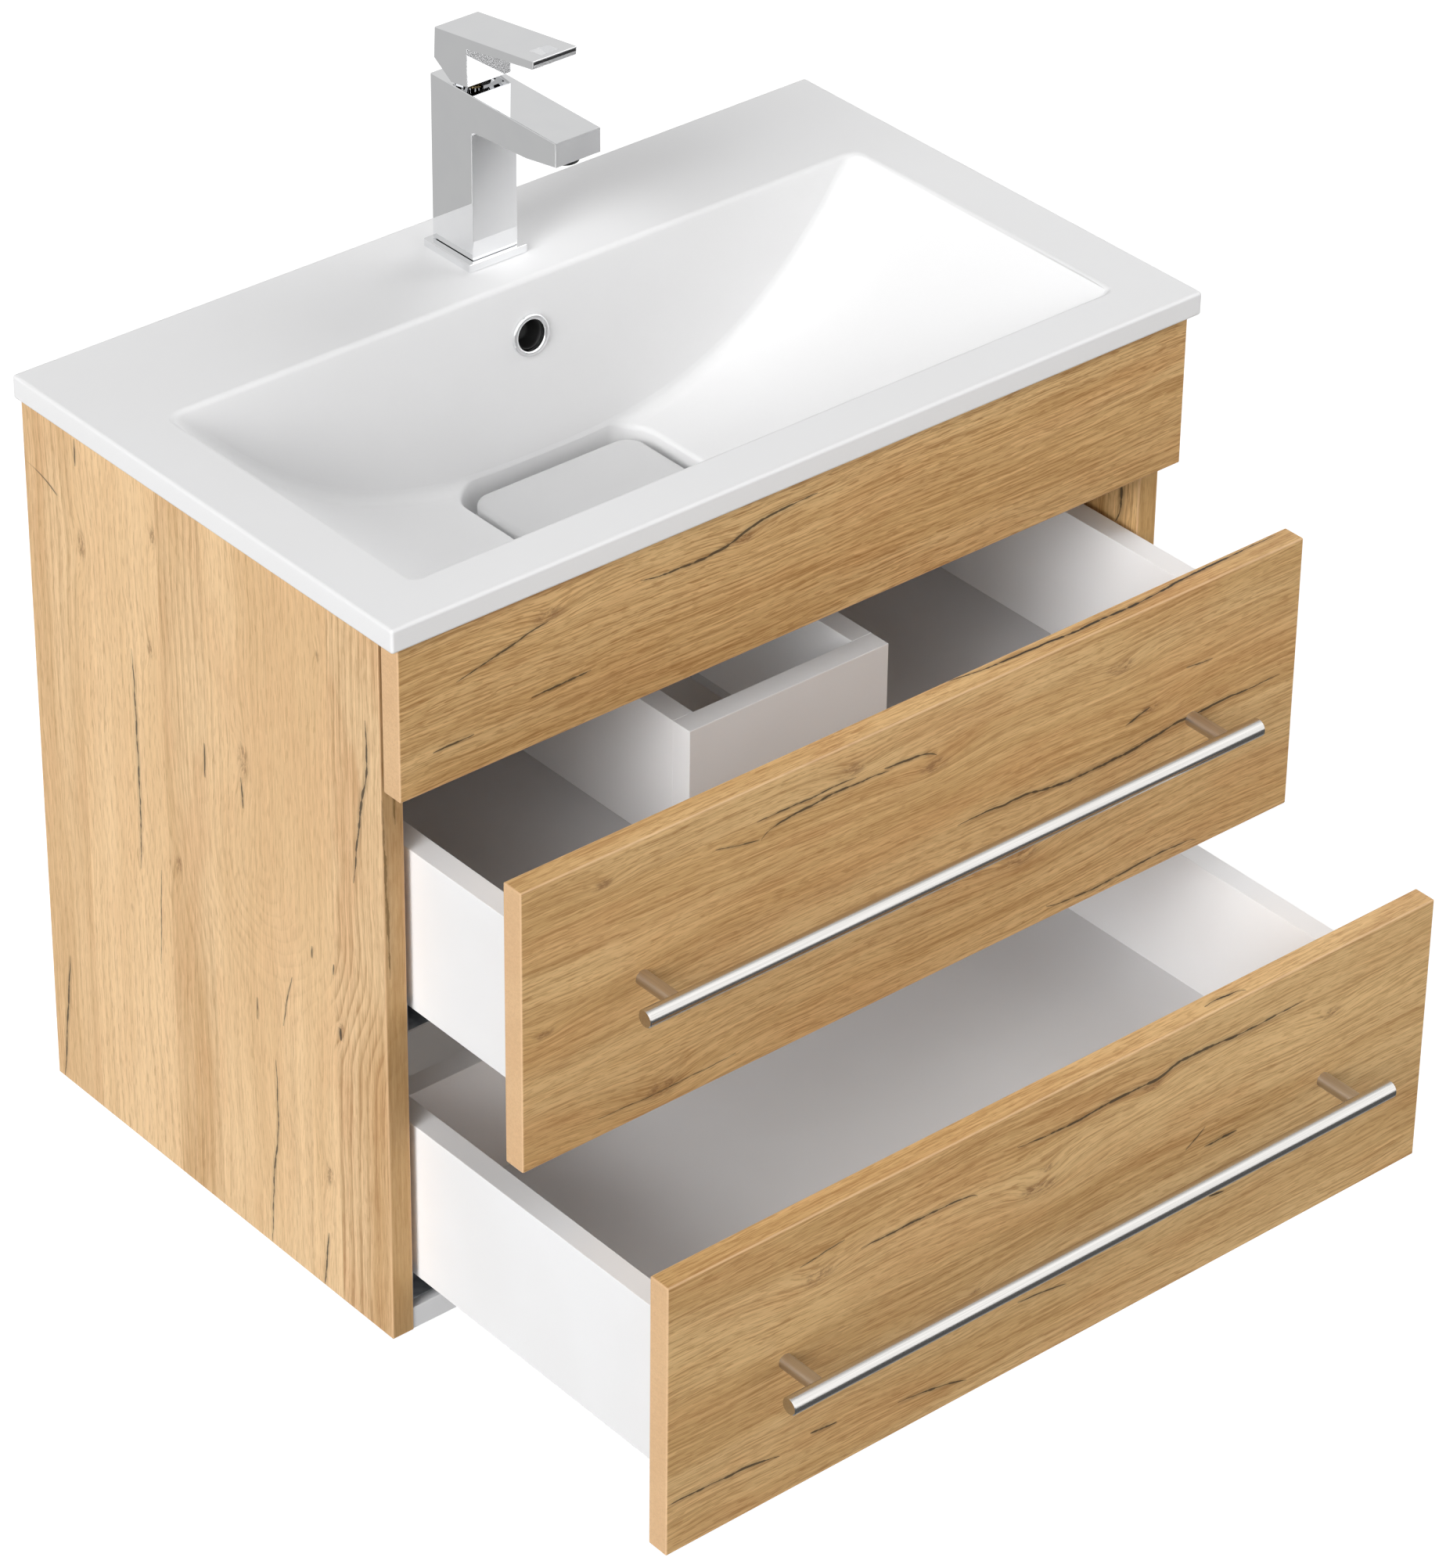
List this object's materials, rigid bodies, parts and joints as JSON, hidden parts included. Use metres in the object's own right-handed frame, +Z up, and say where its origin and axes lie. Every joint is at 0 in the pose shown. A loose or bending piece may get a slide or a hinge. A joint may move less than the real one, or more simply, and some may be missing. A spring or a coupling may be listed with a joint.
{
  "type": "wall-hung vanity with inset basin",
  "caption": "Wall-hung oak-finish vanity with two pull-out drawers, bar handles, a cast inset basin with covered drain, and a square single-lever tap.",
  "frame": {"origin": "middle of the four wall fixing holes, on the wall plane", "axes": "+X to the right seen from the front, -Y out of the wall towards the user, +Z up"},
  "size_m": [0.75, 0.8116, 0.821],
  "materials": {
    "oak_upright": "oak-grain melamine on 19 mm board, upright grain",
    "oak_level": "oak-grain melamine on 19 mm board, level grain",
    "white_board": "white melamine on 19 mm board",
    "white_floor": "white melamine on 8 mm board",
    "cast_stone": "satin white mineral cast",
    "chrome": "mirror chrome plating",
    "bar_steel": "brushed stainless, along the bar",
    "post_steel": "satin stainless",
    "galvanised": "zinc-plated pressed steel",
    "zinc_screw": "zinc-plated",
    "white_plastic": "white moulded plastic",
    "black_plastic": "black moulded plastic",
    "rubber": "black rubber",
    "brass": "turned brass"
  },
  "bodies": {
    "carcass": {"side_panel_left": "oak_upright", "side_panel_right": "oak_upright", "bottom_panel": "white_board", "rear_rails": "white_board", "fascia": "oak_level", "fascia_brackets": "galvanised", "hanger_housings": "galvanised", "wall_plates": "galvanised", "basin": "cast_stone", "overflow_ring": "chrome", "tap_base": "chrome", "tap_body": "chrome", "aerator": "black_plastic", "cartridge": "white_plastic", "cartridge_collar": "chrome", "tap_stud": "brass", "tap_gasket": "rubber", "tap_washer": "zinc_screw", "tap_nut": "brass", "tap_inlets": "brass", "waste_flange": "chrome", "waste_washer": "rubber", "waste_nut": "brass", "trap_head": "chrome", "trap_cup": "chrome", "trap_inlet_nut": "chrome", "trap_outlet_nut": "chrome", "trap_outlet_pipe": "chrome", "wall_rosette": "chrome", "top_runner_cabinet": "galvanised", "low_runner_cabinet": "galvanised", "runner_screws": "zinc_screw"},
    "top_drawer": {"top_drawer_front": "oak_level", "top_drawer_side_left": "white_board", "top_drawer_side_right": "white_board", "top_drawer_bottom": "white_floor", "top_drawer_back_left": "white_board", "top_drawer_back_right": "white_board", "pocket_front": "white_board", "pocket_side_left": "white_board", "pocket_side_right": "white_board", "top_handle_bar": "bar_steel", "top_handle_posts": "post_steel", "top_handle_screws": "zinc_screw", "top_runner_drawer": "galvanised"},
    "low_drawer": {"low_drawer_front": "oak_level", "low_drawer_side_left": "white_board", "low_drawer_side_right": "white_board", "low_drawer_bottom": "white_floor", "low_drawer_back": "white_board", "low_handle_bar": "bar_steel", "low_handle_posts": "post_steel", "low_handle_screws": "zinc_screw", "low_runner_drawer": "galvanised"},
    "top_runner": {"top_runner_middle": "galvanised"},
    "low_runner": {"low_runner_middle": "galvanised"},
    "lever_turn": {"cartridge_guide": "black_plastic"},
    "lever": {"lever": "chrome", "lever_stem": "brass"},
    "drain_cover": {"drain_cover": "cast_stone"}
  },
  "joints": [
    {"name": "top_drawer_slide", "type": "slide", "parent": "carcass", "child": "top_drawer", "axis": [0, -1, 0], "range_m": [-0.1319, 0.2131]},
    {"name": "top_runner_slide", "type": "slide", "parent": "carcass", "child": "top_runner", "axis": [0, -1, 0], "range_m": [-0.06645, 0.10705]},
    {"name": "low_drawer_slide", "type": "slide", "parent": "carcass", "child": "low_drawer", "axis": [0, -1, 0], "range_m": [-0.2886, 0.0564]},
    {"name": "low_runner_slide", "type": "slide", "parent": "carcass", "child": "low_runner", "axis": [0, -1, 0], "range_m": [-0.1448, 0.0287]},
    {"name": "lever_temperature", "type": "hinge", "parent": "carcass", "child": "lever_turn", "pos_m": [0, -0.0634, 0.308], "axis": [0, 0, 1], "range_deg": [-45, 45]},
    {"name": "lever_flow", "type": "hinge", "parent": "lever_turn", "child": "lever", "pos_m": [0, -0.0634, 0.308], "axis": [-1, 0, 0], "range_deg": [0, 20]},
    {"name": "drain_cover_lift", "type": "slide", "parent": "carcass", "child": "drain_cover", "axis": [0, 0, 1], "range_m": [0, 0.05]}
  ],
  "couplings": [
    {"joint": "top_runner_slide", "follows": "top_drawer_slide", "ratio": 0.5},
    {"joint": "low_runner_slide", "follows": "low_drawer_slide", "ratio": 0.5}
  ]
}
